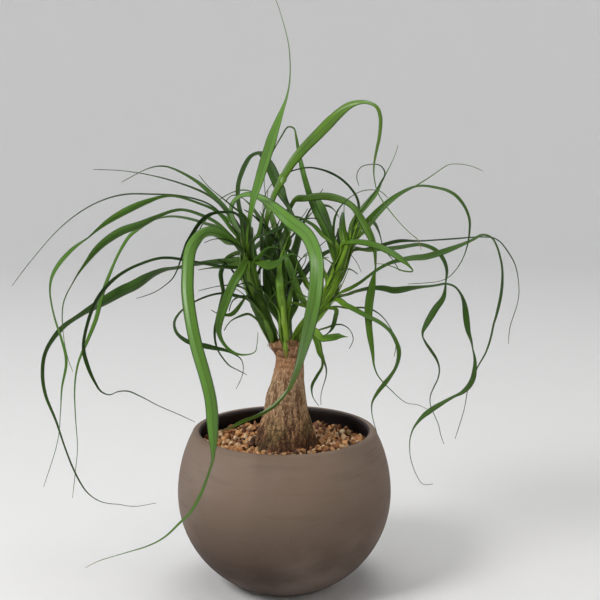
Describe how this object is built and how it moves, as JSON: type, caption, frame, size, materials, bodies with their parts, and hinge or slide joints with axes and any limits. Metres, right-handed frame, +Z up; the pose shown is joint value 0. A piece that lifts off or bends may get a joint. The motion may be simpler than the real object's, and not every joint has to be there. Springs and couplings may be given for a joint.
{
  "type": "potted ponytail palm",
  "caption": "Decorative house plant: a young ponytail palm in a ball-shaped stoneware pot, with a swollen corky trunk in gravel and heads of long, arching and curling strap leaves.",
  "frame": {"origin": "centre of the pot's flat foot, on the surface that the pot stands on", "axes": "+Z up along the pot's axis, -Y towards the front that the picture shows, +X to the viewer's right"},
  "size_m": [0.5388, 0.3788, 0.5953],
  "materials": {
    "pot": "matte",
    "mix": "matte",
    "gravel": "matte",
    "bark": "matte",
    "leaf_left": "satin",
    "leaf_right": "satin",
    "leaf_middle": "satin",
    "leaf_young": "satin"
  },
  "bodies": {
    "root": {"pot": "pot", "potting_mix": "mix", "gravel": "gravel", "trunk": "bark", "head_left": "leaf_left", "head_right": "leaf_right", "head_middle": "leaf_middle", "shoot_front": "leaf_young"}
  },
  "joints": []
}
